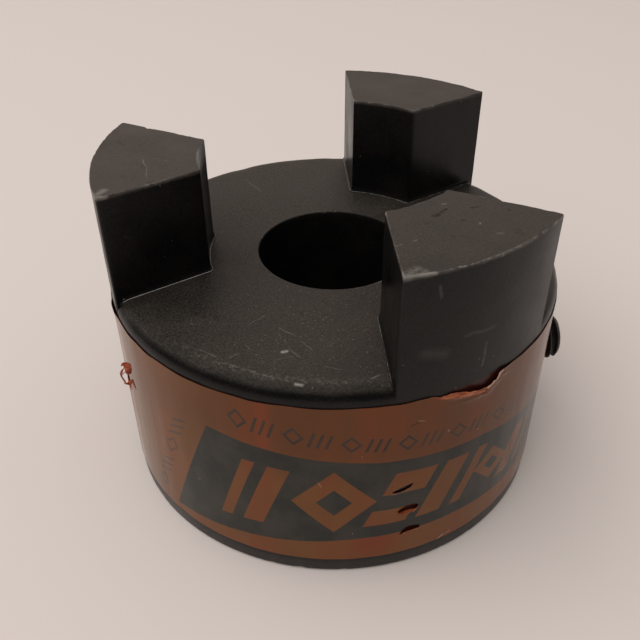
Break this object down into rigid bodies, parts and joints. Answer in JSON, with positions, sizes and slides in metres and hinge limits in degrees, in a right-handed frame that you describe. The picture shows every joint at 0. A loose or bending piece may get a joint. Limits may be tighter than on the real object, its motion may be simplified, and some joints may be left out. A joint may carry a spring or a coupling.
{
  "type": "jaw coupling hub",
  "caption": "Round iron hub with upright jaws round a keyed shaft bore, a radial set screw and a printed film round the body; drives a mating hub through an elastic spider.",
  "frame": {"origin": "on the bore's axis in the base face, which the hub stands on", "axes": "+Z along the bore towards the jaws, +X out through the set screw, midway between two jaws"},
  "size_m": [0.0898, 0.0846, 0.063],
  "materials": {
    "sintered_iron": "fine matte, dark, with worn bright edges",
    "black_oxide_steel": "black oxide, slightly oily",
    "printed_film": "glossy copper-brown film with a dark printed panel"
  },
  "bodies": {
    "hub": {"hub": "sintered_iron", "film_sleeve": "printed_film"},
    "set_screw": {"set_screw": "black_oxide_steel"}
  },
  "joints": [
    {"name": "set_screw_travel", "type": "slide", "parent": "hub", "child": "set_screw", "axis": [-1, 0, 0], "range_m": [-0.009, 0.0144]}
  ]
}
